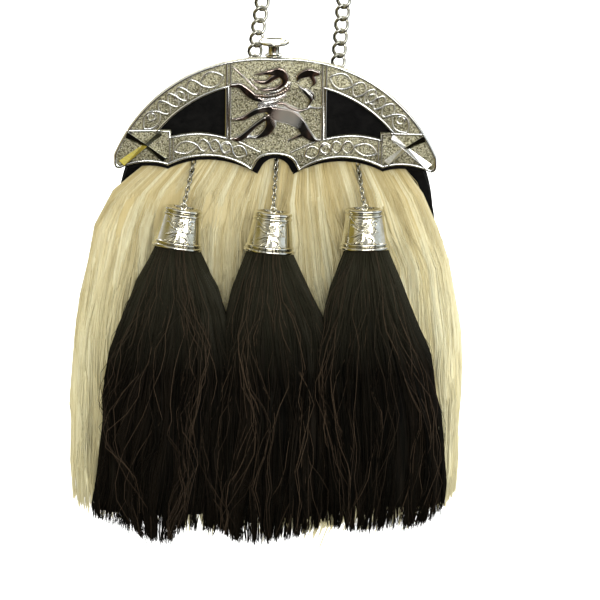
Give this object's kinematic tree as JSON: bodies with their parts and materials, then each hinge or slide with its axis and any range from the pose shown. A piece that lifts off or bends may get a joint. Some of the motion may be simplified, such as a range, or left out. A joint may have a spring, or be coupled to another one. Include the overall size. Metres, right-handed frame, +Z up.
{
  "type": "sporran pouch",
  "caption": "Dress sporran: leather pouch under a cast metal arched top with a lion shield, pale horsehair front, black tassels on chains, hung by a waist chain loop.",
  "frame": {"origin": "the point that the waist chain hangs over, under its top link", "axes": "+Z up along the hanging chain, -Y towards the front of the sporran, +X to the right seen from the front"},
  "size_m": [0.1962, 0.0697, 0.6324],
  "materials": {
    "cantle_metal": "antiqued plated casting, stippled ground under polished relief",
    "polished_chrome": "bright chrome plate",
    "chain_metal": "plated steel links, lightly dulled",
    "black_leather": "smooth black leather with a fine grain",
    "pale_hair": "combed cream horsehair, golden at its roots",
    "black_hair": "trimmed black-brown horsehair"
  },
  "bodies": {
    "root": {"cantle": "cantle_metal", "cantle_backing": "black_leather", "knob": "polished_chrome", "pouch_front": "black_leather", "pouch_gusset": "black_leather", "pouch_back": "black_leather", "chain_hanger_left": "polished_chrome", "chain_hanger_right": "polished_chrome", "waist_chain_left": "chain_metal", "waist_chain_top": "chain_metal", "waist_chain_right": "chain_metal", "tassel_chain_left": "chain_metal", "tassel_chain_middle": "chain_metal", "tassel_chain_right": "chain_metal", "tassel_cone_left": "polished_chrome", "tassel_cone_middle": "polished_chrome", "tassel_cone_right": "polished_chrome", "tassel_hair_left": "black_hair", "tassel_hair_middle": "black_hair", "tassel_hair_right": "black_hair", "hair_main": "pale_hair"}
  },
  "joints": []
}
